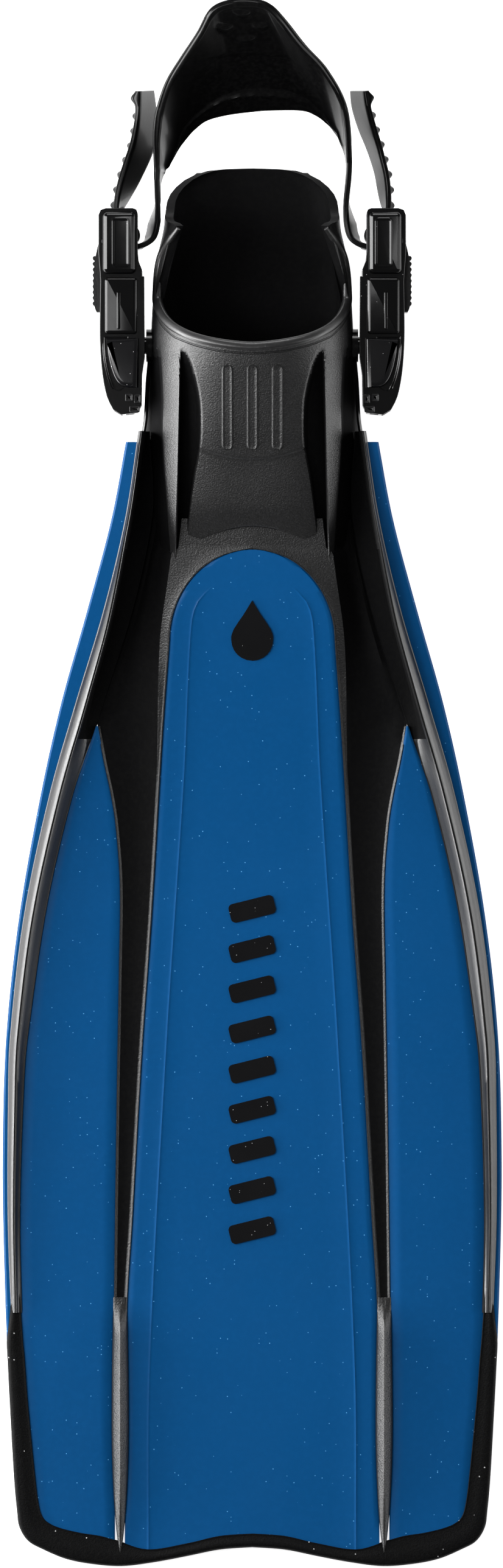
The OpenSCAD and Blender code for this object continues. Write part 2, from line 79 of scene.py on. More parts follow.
def curve(points, m):
    """Catmull-Rom through points, m steps between neighbours."""
    p = [np.array(q, float) for q in points]
    out = []
    for i in range(len(p) - 1):
        a, b, c, d = p[max(i - 1, 0)], p[i], p[i + 1], p[min(i + 2, len(p) - 1)]
        for k in range(m):
            q = k / m
            out.append(b + q * (c - a) / 2 + q * q * (a - 2.5 * b + 2 * c - d / 2)
                       + q ** 3 * (1.5 * b - a / 2 - 1.5 * c + d / 2))
    out.append(p[-1])
    return out


def unit(v):
    n = np.linalg.norm(v)
    return v / n if n > 1e-9 else v


def smooth(a, b, x):
    q = min(1, max(0, (x - a) / (b - a)))
    return q * q * (3 - 2 * q)


# Half widths and heights: pairs of a position along the fin and the value there.
BLADE_HALF = [(-342, 107.6), (-335, 108.4), (-284, 111.7), (-225, 114), (-172, 114.8),
              (-116, 113.1), (-60, 107), (-4, 97), (38, 87.5), (80, 75.6), (122, 64.4), (158, 57.6)]
RAIL_OUT = [(-246, 111), (-200, 112.6), (-144, 112.4), (-116, 111.5), (-60, 105),
            (-4, 93.1), (38, 81), (80, 68.3), (122, 58.3), (163, 52)]
RAIL_WIDTH = [(-246, 5.2), (-200, 5.9), (-144, 7.3), (-88, 9.5), (-4, 11.1), (24, 13),
              (122, 12.6), (163, 5)]
RAIL_SPLIT = [(-246, 2.4), (-88, 4.2), (24, 5.2), (66, 4.3), (95, 2.8), (112, 2.0), (163, 1.4)]
PANEL_IN = [(-246, 63.7), (-144, 62.3), (-88, 61.3), (-46, 60.8), (-18, 62.8), (-4, 65),
            (11, 68.2), (28, 71.2)]
CENTRE_HALF = [(-352, 57.2), (-246, 57.6), (-200, 55), (-116, 50.1), (-60, 46), (24, 40.9),
               (66, 37.8)]
CREASE = [(-352, 47.8), (-268, 47.2), (-120, 39.5), (4, 31.3), (73, 27.9), (84, 24.8), (92, 17)]
BLADE_Z = [(-361, 5), (-340, 5.6), (-280, 8.2), (-200, 12.8), (-120, 19.5), (-60, 27),
           (-20, 33), (24, 42), (66, 51.5), (108, 60), (164, 68)]
RAIL_UP = [(-246, 1.8), (-200, 3.4), (-120, 5), (0, 7), (100, 7.5), (164, 2.6)]
RAIL_DOWN = [(-246, 1.8), (-120, 5), (0, 9), (80, 14), (112, 18), (164, 22)]
POCKET_HALF = [(58, 20), (63, 33), (75, 43), (95, 50), (112, 52.6), (130, 52.4),
               (150, 50.8), (165, 49.2), (180, 48.3), (200, 46.8), (225, 45.4), (238, 44.2),
               (246, 42.6), (254, 40.8), (262, 40), (272, 39), (280, 32), (284, 22)]
POCKET_Z = [(58, 27), (63, 37), (75, 46), (95, 53), (108, 58.4), (114, 61.5), (117, 63.5),
            (121, 66), (126, 68.5), (150, 76), (165, 80), (200, 87.5), (206, 88), (225, 84),
            (245, 80), (284, 78)]
POCKET_FULL = [(58, 3.4), (100, 3.4), (150, 3.3), (185, 2.9), (204, 2.4), (225, 1.95),
               (250, 1.75), (284, 1.75)]
POCKET_END = [(-90, 284), (-60, 283), (-45, 280), (-30, 273), (-15, 266), (0, 261),
              (12, 258.5), (24, 257.5), (32, 256), (33, 222), (37, 218.3), (45, 213.2),
              (55, 208.1), (68, 204.1), (80, 201.4), (90, 200.3)]
POCKET_LOW = [(58, 16), (140, 16), (170, 22), (195, 36), (206, 42), (220, 46), (250, 46),
              (262, 40), (284, 34)]
RIM_ANGLE = [(58, 33), (150, 33), (185, 24), (205, 14), (215, 12), (222, 10), (230, 7),
             (240, 8), (246, 14), (251, 22), (256, 30), (262, 33), (284, 33)]
T = 3.0  # thickness of the blade
RAIL_START = -243  # foremost end of the rails and channels
KEEL_START, KEEL_LENGTH, KEEL_X = -236, 117.5, 60.75
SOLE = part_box("sole_plate")[1][2] / MM - 1.0
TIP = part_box("tip_bumper")[0][1] / MM
STRAP_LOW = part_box("strap_wrap_right")[0][2] / MM
STRAP_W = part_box("strap_wrap_right")[1][2] / MM - STRAP_LOW


def blade_z(y):
    return at(BLADE_Z, y)


def rail_out(y):
    return at(RAIL_OUT, y)


def rail_in(y):
    return rail_out(y) - at(RAIL_WIDTH, y)


def centre_half(y):
    if y < RAIL_START:
        return 60.9 - rib_half(y)
    if y > 66:
        return 37.8 * math.sqrt(max(0, 1 - ((y - 66) / 41.8) ** 2))
    return at(CENTRE_HALF, y)


def tip_y(x):
    x = abs(x)
    if x <= 60:
        return TIP + 4.45 * (1 + math.cos(math.radians(3 * x)))
    return TIP + line_at([(60, 0), (74, 1), (86, 3.6), (96.5, 8), (104.6, 13.4), (108, 20)], x)


# ---------- mesh building ----------

def add_mesh(name, verts, faces, mat, body, replaces=(), angle=38, merge=1e-7):
    """A closed mesh from points in millimetres, riding on a body."""
    me = bpy.data.meshes.new(name)
    me.from_pydata([tuple(c * MM for c in v) for v in verts], [], faces)
    bm = bmesh.new()
    bm.from_mesh(me)
    bmesh.ops.remove_doubles(bm, verts=bm.verts, dist=merge)
    bmesh.ops.dissolve_degenerate(bm, edges=bm.edges, dist=1e-8)
    bmesh.ops.recalc_face_normals(bm, faces=bm.faces)
    bm.to_mesh(me)
    bm.free()
    me.shade_smooth()
    me.set_sharp_from_angle(angle=math.radians(angle))
    ob = bpy.data.objects.new(name, me)
    bpy.context.scene.collection.objects.link(ob)
    me.materials.append(mat)
    if body:
        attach(ob, body)
    for n in replaces:
        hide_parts(n)
    return ob


def two_skins(top, bottom):
    """Closed solid between two grids of the same shape."""
    top, bottom = np.asarray(top, float), np.asarray(bottom, float)
    n, m = top.shape[:2]
    verts = list(top.reshape(-1, 3)) + list(bottom.reshape(-1, 3))
    o = n * m
    faces = []
    for i in range(n - 1):
        for j in range(m - 1):
            a, b, c, d = i * m + j, i * m + j + 1, (i + 1) * m + j + 1, (i + 1) * m + j
            faces += [(a, b, c, d), (o + d, o + c, o + b, o + a)]
    ring = ([(0, j) for j in range(m)] + [(i, m - 1) for i in range(1, n)]
            + [(n - 1, j) for j in range(m - 2, -1, -1)] + [(i, 0) for i in range(n - 2, 0, -1)])
    for (i, j), (k, q) in zip(ring, ring[1:] + ring[:1]):
        a, b = i * m + j, k * m + q
        faces.append((b, a, o + a, o + b))
    return verts, faces


def ring_solid(rings, closed=False):
    """Closed solid from rings of points, capped at both ends unless the path is closed."""
    n, m = len(rings), len(rings[0])
    verts = [p for r in rings for p in r]
    faces = []
    for i in range(n if closed else n - 1):
        for j in range(m):
            a, b = i * m + j, i * m + (j + 1) % m
            c, d = ((i + 1) % n) * m + (j + 1) % m, ((i + 1) % n) * m + j
            faces.append((a, b, c, d))
    if not closed:
        faces += [tuple(range(m))[::-1], tuple((n - 1) * m + j for j in range(m))]
    return verts, faces


def flipped(grid, side):
    g = np.array(grid, float)
    g[..., 0] *= side
    return g


# ---------- materials ----------

def material(name, base, rough, spec=0.5, grain=None, speck=None, tint=None, coat=0.0,
             rough_vary=0.06, blotch=(9, 0.12)):
    """Moulded plastic or rubber: blotches, grain, pin-prick flecks and uneven gloss."""
    m = bpy.data.materials.new(name)
    m.use_nodes = True
    nt = m.node_tree
    bsdf = nt.nodes["Principled BSDF"]
    bsdf.inputs["Specular IOR Level"].default_value = spec
    bsdf.inputs["Coat Weight"].default_value = coat
    bsdf.inputs["Coat Roughness"].default_value = 0.12

    def node(kind, **values):
        n = nt.nodes.new(kind)
        for k, v in values.items():
            if hasattr(n, k):
                setattr(n, k, v)
            else:
                n.inputs[k.replace("_", " ")].default_value = v
        return n

    def link(a, b):
        nt.links.new(a, b)

    here = node("ShaderNodeTexCoord").outputs["Object"]
    cloud = node("ShaderNodeTexNoise", Scale=blotch[0], Detail=4.0, Roughness=0.6)
    link(here, cloud.inputs["Vector"])
    shade = node("ShaderNodeMapRange")
    link(cloud.outputs["Fac"], shade.inputs["Value"])
    shade.inputs["From Min"].default_value = 0.3
    shade.inputs["From Max"].default_value = 0.7
    shade.inputs["To Min"].default_value = 1 - blotch[1]
    shade.inputs["To Max"].default_value = 1 + blotch[1]
    colour = node("ShaderNodeMix", data_type="RGBA", blend_type="MULTIPLY")
    colour.inputs["Factor"].default_value = 1.0
    colour.inputs["A"].default_value = (*base, 1)
    link(shade.outputs["Result"], colour.inputs["B"])
    out = colour.outputs["Result"]
    if tint:
        fine = node("ShaderNodeTexNoise", Scale=tint[0], Detail=2.0)
        link(here, fine.inputs["Vector"])
        edge = node("ShaderNodeMapRange")
        edge.inputs["From Min"].default_value = 0.42
        edge.inputs["From Max"].default_value = 0.72
        edge.inputs["To Max"].default_value = tint[2]
        link(fine.outputs["Fac"], edge.inputs["Value"])
        mix = node("ShaderNodeMix", data_type="RGBA")
        mix.inputs["B"].default_value = (*tint[1], 1)
        link(edge.outputs["Result"], mix.inputs["Factor"])
        link(out, mix.inputs["A"])
        out = mix.outputs["Result"]
    if speck:
        cells = node("ShaderNodeTexVoronoi", Scale=speck[0])
        link(here, cells.inputs["Vector"])
        dot = node("ShaderNodeMath", operation="LESS_THAN")
        dot.inputs[1].default_value = speck[2]
        link(cells.outputs["Distance"], dot.inputs[0])
        split = node("ShaderNodeSeparateColor")
        link(cells.outputs["Color"], split.inputs["Color"])
        few = node("ShaderNodeMath", operation="GREATER_THAN")
        few.inputs[1].default_value = speck[3]
        link(split.outputs["Red"], few.inputs[0])
        both = node("ShaderNodeMath", operation="MULTIPLY")
        link(dot.outputs[0], both.inputs[0])
        link(few.outputs[0], both.inputs[1])
        soft = node("ShaderNodeMath", operation="MULTIPLY")
        soft.inputs[1].default_value = speck[4]
        link(both.outputs[0], soft.inputs[0])
        mix = node("ShaderNodeMix", data_type="RGBA")
        mix.inputs["B"].default_value = (*speck[1], 1)
        link(soft.outputs[0], mix.inputs["Factor"])
        link(out, mix.inputs["A"])
        out = mix.outputs["Result"]
    link(out, bsdf.inputs["Base Color"])
    uneven = node("ShaderNodeTexNoise", Scale=60.0, Detail=3.0)
    link(here, uneven.inputs["Vector"])
    gloss = node("ShaderNodeMapRange")
    gloss.inputs["To Min"].default_value = max(0.03, rough - rough_vary)
    gloss.inputs["To Max"].default_value = rough + rough_vary
    link(uneven.outputs["Fac"], gloss.inputs["Value"])
    link(gloss.outputs["Result"], bsdf.inputs["Roughness"])
    if grain:
        tex = node("ShaderNodeTexNoise", Scale=grain[0], Detail=2.5, Roughness=0.55)
        link(here, tex.inputs["Vector"])
        bump = node("ShaderNodeBump", Strength=grain[1], Distance=grain[2])
        link(tex.outputs["Fac"], bump.inputs["Height"])
        link(bump.outputs["Normal"], bsdf.inputs["Normal"])
    return m


BLUE = material("blade_blue", (0.001, 0.048, 0.15), 0.38, spec=0.08,
                grain=(900, 0.10, 0.0002), tint=(420, (0.002, 0.058, 0.18), 0.3),
                speck=(620, (0.12, 0.4, 0.75), 0.15, 0.92, 0.55), blotch=(7, 0.05))
RUBBER = material("pebbled_rubber", (0.005, 0.005, 0.0052), 0.36, spec=0.42,
                  grain=(1500, 0.6, 0.00035), tint=(1300, (0.02, 0.02, 0.0205), 0.5))
RUBBER_SMOOTH = material("rail_rubber", (0.006, 0.006, 0.0062), 0.34, spec=0.55,
                         grain=(1100, 0.22, 0.0002), tint=(900, (0.02, 0.02, 0.0205), 0.35),
                         speck=(500, (0.2, 0.2, 0.2), 0.12, 0.93, 0.4))
BUMPER = material("bumper_rubber", (0.0018, 0.0018, 0.0019), 0.5, spec=0.06,
                  grain=(1500, 0.5, 0.0003), tint=(1200, (0.006, 0.006, 0.006), 0.4),
                  speck=(420, (0.5, 0.5, 0.5), 0.13, 0.93, 0.7))
STRAP = material("strap_rubber", (0.0012, 0.0012, 0.0013), 0.38, spec=0.06, coat=0.16,
                 grain=(700, 0.10, 0.0002), tint=(600, (0.008, 0.008, 0.008), 0.3))
GLOSS = material("buckle_gloss", (0.001, 0.001, 0.0011), 0.22, spec=0.14, coat=0.2,
                 grain=(260, 0.10, 0.0003), speck=(420, (0.3, 0.3, 0.3), 0.09, 0.9, 0.5))
RIDGED = material("lever_matt", (0.003, 0.003, 0.0032), 0.36, spec=0.25, coat=0.2,
                  grain=(1400, 0.4, 0.0003), tint=(900, (0.01, 0.01, 0.01), 0.4))
INLAY = material("inlay_gloss", (0.002, 0.002, 0.0024), 0.22, spec=0.25, coat=0.2,
                 grain=(500, 0.08, 0.0002), speck=(700, (0.5, 0.5, 0.5), 0.12, 0.86, 0.6))
SOLE_RUBBER = material("sole_rubber", (0.010, 0.010, 0.010), 0.55,
                       grain=(800, 0.5, 0.0004), tint=(500, (0.03, 0.03, 0.03), 0.4))
# matt black used only as painted shade, put on faces that lie in shadow
SHADE_BLACK = material("painted_shade_black", (0.0016, 0.0016, 0.0018), 0.8, spec=0.06,
                 grain=(900, 0.3, 0.0003), tint=(500, (0.004, 0.004, 0.004), 0.4))
STEEL = material("pin_steel", (0.05, 0.05, 0.053), 0.32, grain=(900, 0.2, 0.0002),
                 tint=(300, (0.03, 0.03, 0.032), 0.4))
STEEL.node_tree.nodes["Principled BSDF"].inputs["Metallic"].default_value = 1.0


def paint_shade(ob, test):
    """Painted shade: a second, matt black material on the faces that test picks."""
    ob.data.materials.append(SHADE_BLACK)
    for f in ob.data.polygons:
        c = f.center / MM
        if test(c.x, c.y, c.z):
            f.material_index = 1


# ---------- blade ----------

def edge_drop(x, a, b, depth=0.55, reach=0.9):
    """Rounded-over border of a panel that spans a..b."""
    d = max(0.0, min(abs(x - a), abs(b - x)))
    return depth * (1 - smooth(0, reach, d))


def spread(a, b, inner, lips=(0.0, 0.35, 0.9)):
    """Positions from a to b, packed close to both borders."""
    w = b - a
    lips = [min(q, w * 0.2 * (k + 0.2)) for k, q in enumerate(lips)]
    mid = [a + lips[-1] + (w - 2 * lips[-1]) * k / inner for k in range(1, inner)]
    return [a + q for q in lips] + mid + [b - q for q in lips[::-1]]


def rows_from_tip(first, last, step):
    n = int((last - first) / step)
    return [first + (last - first) * k / n for k in range(n + 1)]


def panel_grid(a_of, b_of, ys, inner, side, name, foot):
    """Panel between two borders; its lowest rows follow the tip edge."""
    rows = []
    for k in range(6):
        rows.append([(x, tip_y(x) + foot + (ys[0] - tip_y(x) - foot) * k / 6)
                     for x in spread(a_of(ys[0]), b_of(ys[0]), inner)])
    for y in ys:
        rows.append([(x, y) for x in spread(a_of(y), b_of(y), inner)])
    top = [[(x, y, blade_z(y) - edge_drop(x, row[0][0], row[-1][0])) for x, y in row]
           for row in rows]
    low = [[(x, y, blade_z(y) - T) for x, y in row] for row in rows]
    verts, faces = two_skins(flipped(top, side), flipped(low, side))
    return add_mesh(name, verts, faces, BLUE, "fin", ["blade_plate"])


BUMPER_IN = [(-352, 97.6), (-332, 98.6), (-284, 103.3), (-262, 105.2), (-243, 106.8)]


def rib_half(y):
    """Half width of the keel rib that carries the channel on to the tip."""
    f = min(1, max(0, (KEEL_START - y) / KEEL_LENGTH))
    if f < 0.5:
        return 3.1 + 0.8 * math.sin(math.pi * f)
    return 3.9 * max(0.02, math.cos(math.pi * (f - 0.5))) ** 0.6


def side_outer(y):
    return (at(BUMPER_IN, y) + 1.2) if y < RAIL_START else rail_in(y) + 0.4


for tag, side in SIDES:
    panel_grid(lambda y: at(PANEL_IN, y) - 0.3 if y > RAIL_START else 60.6 + rib_half(y),
               side_outer, rows_from_tip(-334, 27, 4), 8, side, "side_panel_" + tag, 3.2)
    rows = rows_from_tip(-257, 157, 4)
    top = [[(x, y, blade_z(y) - 0.2 - edge_drop(x, -99, at(BLADE_HALF, y), 0.7, 0.9))
            for x in spread(rail_out(max(y, RAIL_START)) - 0.3 - 0.12 * min(0, y - RAIL_START),
                            at(BLADE_HALF, y), 2)] for y in rows]
    low = [[(x, y, blade_z(y) - T + edge_drop(x, -99, at(BLADE_HALF, y), 0.7, 0.9))
            for x, y, _ in row] for row in top]
    verts, faces = two_skins(flipped(top, side), flipped(low, side))
    add_mesh("edge_strip_" + tag, verts, faces, BLUE, "fin", ["blade_plate"])


def crease_at(y):
    return min(at(CREASE, min(y, 92)), max(1.0, centre_half(y) - 6))


def centre_columns(y):
    c, k = centre_half(y), crease_at(y)
    half = [0, k * 0.25, k * 0.5, k * 0.75, k - 1.1, k - 0.5, k, k + 0.5, k + 1.1]
    gap = c - half[-1]
    half += [half[-1] + gap * q for q in (0.35, 0.7)]
    half += [c - min(0.9, gap * 0.25), c - min(0.35, gap * 0.1), c]
    if y > 100:
        half = [c * q / (len(half) - 1) for q in range(len(half))]
    return [-q for q in half[:0:-1]] + half


def centre_top(x, y):
    c = centre_half(y)
    arch = 0.0
    if y > 92:
        arch = 0.55 * (1 - smooth(0, 0.9, (107.8 - y) * 0.8 + (c - abs(x)) * 0.6))
    fade = 1 - smooth(84, 92, y)
    line = 0.3 * math.exp(-((abs(x) - crease_at(y)) / 0.42) ** 2) * fade
    return blade_z(y) - max(arch, edge_drop(x, -c, c)) + line


rows = []
for k in range(8):
    rows.append([(x, tip_y(x) + 3.2 + (-338 - tip_y(x) - 3.2) * k / 8)
                 for x in centre_columns(-338)])
for y in rows_from_tip(-338, 88, 4) + rows_from_tip(89.5, 107.2, 1.1) + [107.5, 107.7, 107.79]:
    rows.append([(x, y) for x in centre_columns(y)])
top = [[(x, y, centre_top(x, y)) for x, y in row] for row in rows]
low = [[(x, y, blade_z(y) - T) for x, y in row] for row in rows]
verts, faces = two_skins(top, low)
add_mesh("centre_panel", verts, faces, BLUE, "fin", ["blade_plate"])


# ---------- rails, inserts, keels, bumper ----------

RAIL_SINK = [(-246, 0), (0, 0.5), (20, 2), (40, 5), (66, 9), (100, 13), (125, 15), (163, 15)]

for tag, side in SIDES:
    top, low = [], []
    for y in rows_from_tip(RAIL_START, 162, 3):
        ro, ri, sp, h = rail_out(y), rail_in(y), at(RAIL_SPLIT, y), at(RAIL_UP, y)
        cut = min(1.0, at(RAIL_WIDTH, y) / 8, sp / 2.4)
        z, sink = blade_z(y), at(RAIL_SINK, y)
        crest = ro - sp
        steep = smooth(0, 50, y)
        foot = (ri + 0.8) * (1 - steep) + (crest - 3.4) * steep
        shape = [(ri, 0.1 - sink), (ri + 0.25, 0.55 - sink), (min(foot, ri + 0.7), 0.5 - sink),
                 (foot * 0.6 + crest * 0.4, (h * 0.5) * (1 - steep) - sink * 0.75),
                 (crest - 1.1 * cut, h * 0.93 - 0.8 * steep),
                 (crest - 0.5 * cut, h), (crest - 0.28 * cut, h - 0.1),
                 (crest - 0.12 * cut, h - 0.7 * cut), (crest + 0.12 * cut, h - 0.7 * cut),
                 (crest + 0.28 * cut, h - 0.1), (crest + 0.5 * cut, h),
                 (crest + sp * 0.35, h * 0.86), (ro - sp * 0.3, h * 0.5), (ro - 0.5, 0.6),
                 (ro - 0.15, 0.35), (ro, -0.3)]
        top.append([(x, y, z + q) for x, q in shape])
        deep = z - T - at(RAIL_DOWN, y)
        low.append([(x, y, max(0.4, deep) + 0.35 * abs(x - (ri + ro) / 2)) for x, q in shape])
    verts, faces = two_skins(flipped(top, side), flipped(low, side))
    rail = add_mesh("rail_skin_" + tag, verts, faces, RUBBER_SMOOTH, "fin", ["rail_" + tag])
    # painted shade: the rails' inner flanks behind the crest get the matt black
    paint_shade(rail, lambda x, y, z: y > 20 and abs(x) < rail_out(y) - at(RAIL_SPLIT, y) - 1.5)
    path = curve([(51.0, 157, 42), (49.6, 163, 43), (48.7, 170, 44), (48.2, 180, 45),
                  (47.6, 190, 46), (47.0, 203, 46)], 8)
    rings = []
    for i, c in enumerate(path):
        r = 0.95 * (0.4 + 0.6 * smooth(0, 12, len(path) - 1 - i))
        rings.append([(side * (c[0] + r * math.cos(t)), c[1], c[2] + 2.2 * r * math.sin(t))
                      for t in np.linspace(0, 2 * math.pi, 13)[:-1]])
    verts, faces = ring_solid(rings)
    add_mesh("rail_bead_" + tag, verts, faces, RUBBER_SMOOTH, "fin", ())

SHELF_X = [(-246, 57.9), (-60, 46.7), (0, 43.8), (20, 43.5), (66, 42.3), (95, 38.5),
           (110, 36.5), (125, 35.2)]
VALLEY = [(-246, 0.5), (-60, 0.9), (0, 2.2), (28, 4.5), (60, 8), (90, 12), (125, 15)]

for tag, side in SIDES:
    top, low = [], []
    for y in rows_from_tip(RAIL_START, 66, 3) + rows_from_tip(68, 122, 1.5):
        a = centre_half(y)
        b = at(PANEL_IN, y) if y < 28 else rail_in(y) + 0.4
        w = b - a
        z, v, sh = blade_z(y), at(VALLEY, y), min(at(SHELF_X, y) - a, 0.7 * w)
        sink = at(RAIL_SINK, y)
        row = []
        s2 = max(sh, 1.7)
        xs = [a, a + 0.25, a + 0.6, a + 1.1, a + 1.3, a + (1.3 + s2) / 2, a + s2]
        b2 = b - 1.3
        xs += [a + s2 + (b2 - a - s2) * k / 11 for k in range(1, 11)]
        xs += [b2, b - 1.1, b - 0.6, b - 0.25, b]
        for x in xs:
            d, e = x - a, b - x
            lip = 0.45 * (smooth(0, 0.25, d) - smooth(0.6, 1.2, d)) if y < 108 else 0
            lip += 0.45 * (smooth(0, 0.25, e) - smooth(0.6, 1.2, e)) if y < 28 else 0
            q = min(1, max(0, (d - sh) / max(0.1, w - sh)))
            dip = v * math.sin(math.pi * min(1, q * (1.0 if y < 28 else 0.8))) ** 0.8
            out_sink = sink * smooth(0.4, 1, q) if y > 20 else 0
            fall = 1.2 * smooth(0, 1, d / max(0.1, sh)) if y > 40 else 0
            row.append((x, y, z + lip - max(dip, out_sink) - 0.1 - fall * smooth(40, 70, y)))
        top.append(row)
        low.append([(x, y, min(z - T - 1.5, q - 1.2)) for x, y, q in row])
    verts, faces = two_skins(flipped(top, side), flipped(low, side))
    channel = add_mesh("channel_" + tag, verts, faces, RUBBER, "fin", ["insert_" + tag])
    # painted shade: the channel's valley beyond the shelf gets the matt black
    paint_shade(channel, lambda x, y, z: abs(x) > max(at(SHELF_X, y), centre_half(y) + 1.7)
           and (y > 28 or abs(x) < at(PANEL_IN, y) - 1.3))
    # keel rib: a long pointed lens with a crest
    top, low = [], []
    n = 48
    for k in range(n + 1):
        s = k / n
        y = KEEL_START - KEEL_LENGTH * s
        up = 4.4 * smooth(0, 0.16, s) * (1 - 0.75 * smooth(0.6, 1, s))
        row = []
        for j in range(13):
            u = -1 + j / 6
            h = up * (1 - abs(u)) ** 0.85 + 0.35 * (abs(u) < 0.99)
            if abs(u) < 0.1:
                h -= 0.15
            row.append((KEEL_X + rib_half(y) * u, y, blade_z(y) + h))
        top.append(row)
        low.append([(x, q, max(0.3, blade_z(q) - T - 1.4)) for x, q, _ in row])
    verts, faces = two_skins(flipped(top, side), flipped(low, side))
    add_mesh("keel_rib_" + tag, verts, faces, RUBBER, "fin", ["insert_" + tag])

OUTER = [(111.2, -236), (112.0, -246), (113.0, -256), (112.6, -266), (111.7, -284), (109.8, -318),
         (108.4, -334), (107.2, -342), (103.2, -348.4), (96.5, -352.2), (86, -356.6), (74, -359),
         (60, -360), (45, -358.2), (30, -355.4), (15, -352.4), (0, -351.3)]
INNER = [(106.9, -236), (106.2, -246), (105.5, -256), (104.6, -266), (103.3, -284), (100.2, -316),
         (98.5, -330), (96.6, -337), (93, -340.4), (87.5, -342.6), (79, -344.6), (70, -346),
         (62, -348.2), (48, -352.2), (30, -349.4), (15, -346), (0, -344.9)]
outer_half, inner_half = curve(OUTER, 6), curve(INNER, 6)
outer = [(p[0], p[1]) for p in outer_half] + [(-p[0], p[1]) for p in outer_half[-2::-1]]
inner = [(p[0], p[1]) for p in inner_half] + [(-p[0], p[1]) for p in inner_half[-2::-1]]
rings = []
for (ox, oy), (ix, iy) in zip(outer, inner):
    o, i = np.array([ox, oy]), np.array([ix, iy])
    w = np.linalg.norm(o - i)
    d = (o - i) / w
    zt = blade_z(oy) + 1.3
    zb = line_at([(-362, 0.0), (-338, 0.0), (-300, 1.2), (-268, 2.6), (-230, 4.8)], oy)
    base = blade_z(oy)

    def p(t, z):
        q = i + d * t
        return (q[0], q[1], z)
    rings.append([p(0, base - 0.6), p(0.0, base + 0.55), p(0.25, base + 0.85),
                  p(0.7, base + 0.75), p(1.3, base + 0.7), p(w * 0.45, zt - 0.15),
                  p(w - 2.0, zt), p(w - 0.9, zt - 0.35), p(w - 0.25, zt - 1.2), p(w, zt - 2.4),
                  p(w, zb + 1.0), p(w - 0.4, zb + 0.25), p(w - 1.0, zb), p(w * 0.5, zb),
                  p(1.5, zb + 0.2), p(0, zb + 0.8)])
verts, faces = ring_solid(rings)
add_mesh("bumper_skin", verts, faces, BUMPER, "fin", ["tip_bumper"])


# ---------- foot pocket ----------

RIDGE = [(90, 0), (93.5, 0.6), (96, 4), (110, 6), (136, 6.2), (165, 4.6), (190, 1.6), (199, 0)]
SCOOP = [(90, 0), (96, 4), (115, 6.5), (136, 8), (165, 7), (190, 4.0), (200, 0)]
SCOOP_IN = [(90, 30), (110.3, 29.7), (126.6, 28), (142.8, 25.6), (154.6, 23.3), (166.3, 22.6),
            (177.8, 23.3), (191.8, 26.9), (201.3, 31.4)]
WALL_X = [(90, 36.5), (108, 37.4), (122, 38.4), (157, 40.7), (174, 40.6), (196, 41.6), (204, 43)]
DITCH = [(58, 0), (92, 0), (98, 8), (110, 14), (150, 14), (180, 9), (196, 3), (203, 0)]
CAP = [(58, -1.5), (92.6, -1.5), (93.8, 0.8), (98, 3), (106, 5.5), (118, 8.5), (125, 12)]


def ridge_x(y):
    return 33 + (201 - y) * 0.022


def bend(u, y):
    if u < 0:
        return u
    r = at(RIM_ANGLE, y)
    return u * r / 33 if u < 33 else r + (u - 33) * (90 - r) / 57


def x_angle(y, x):
    """Section angle at which the arch reaches x."""
    w, n = at(POCKET_HALF, y), at(POCKET_FULL, y)
    return math.degrees(math.acos(min(1, (x / w) ** (n / 2))))


def step_y(x):
    return 118.2 - 0.0106 * min(abs(x), 34) ** 2


def fold_y(x):
    return 149 + 0.0085 * min(abs(x), 34) ** 2


def relief(x, y):
    """Height the ridges, scoops, ditches and steps add to the pocket's plain arch."""
    a, xc, xe = abs(x), ridge_x(y), at(WALL_X, y)
    r, s, x1 = at(RIDGE, y), at(SCOOP, y), at(SCOOP_IN, y)
    h = 0.0
    if a >= xc:
        h += r * (1 - 0.5 * min(1, (a - xc) / (xe - xc)))
        h -= at(DITCH, y) * smooth(0, 1.3, a - xe)
    elif a > xc - 1.2:
        h += r - (r + s) * smooth(0, 1.2, xc - a)
    elif a > x1:
        h -= s * smooth(0, 0.45, (a - x1) / (xc - 1.2 - x1))
    if a < xc - 1.2 and y < 185:
        fold = y - fold_y(x)
        h -= 0.9 * (1 - smooth(-0.5, 0.5, fold)) * smooth(-26, 0, fold)
    return h


def pocket_point(y, a, inset, angle=None):
    u = 180 - a if a > 90 else a
    w, z0 = at(POCKET_HALF, y) - inset, at(POCKET_LOW, y)
    b = bend(u, y) if angle is None else angle
    e = 2 / at(POCKET_FULL, y) if u >= 0 else 0.44 * (16 / z0) ** 0.6
    x = w * max(0, math.cos(math.radians(b))) ** e
    if u >= 0:
        z = z0 + (at(POCKET_Z, y) - inset - z0) * abs(math.sin(math.radians(b))) ** e
    else:
        z = z0 - (z0 - SOLE - max(inset, 0)) * abs(math.sin(math.radians(b))) ** e
    return np.array([-x if a > 90 else x, y, z])


SIDE_FAN = [-90, -80, -70, -60, -50, -42, -35, -28, -21, -14, -7, 0, 4, 8, 12, 16, 20, 24, 28, 31,
            32.9]
FAN = [33 + 57 * k / 46 for k in range(47)]
angles = (SIDE_FAN + FAN + [180 - a for a in FAN[-2::-1]]
          + [180 - a for a in SIDE_FAN[:0:-1]])
ROWS = ([58 + 34 * k / 8 for k in range(8)] + [92, 92.8, 93.4, 94, 95]
        + [96.6 + 1.6 * k for k in range(13)]
        + [117.3, 117.9, 118.12, 118.28, 118.6, 119.4] + [121 + 2 * k for k in range(13)]
        + [146.8, 148, 148.6, 149, 149.4, 150, 151] + [152.6 + 1.6 * k for k in range(23)] + [190])
TAIL_ROWS = [4.4, 3.8, 3.4, 3.1, 2.8, 2.2, 1.4, 0.7, 0.0]
MID_ROWS = 24
N_ROWS = len(ROWS) + MID_ROWS + len(TAIL_ROWS)


def end_y(a):
    return line_at(POCKET_END, 180 - a if a > 90 else a)


def row_y(a, i, start):
    y1 = end_y(a)
    if i < len(ROWS):
        return start + (ROWS[i] - 58) * (190 - start) / 132
    if i < len(ROWS) + MID_ROWS:
        return 190 + (y1 - 4.4 - 190) * (i - len(ROWS) + 1) / (MID_ROWS + 1)
    return y1 - TAIL_ROWS[i - len(ROWS) - MID_ROWS]


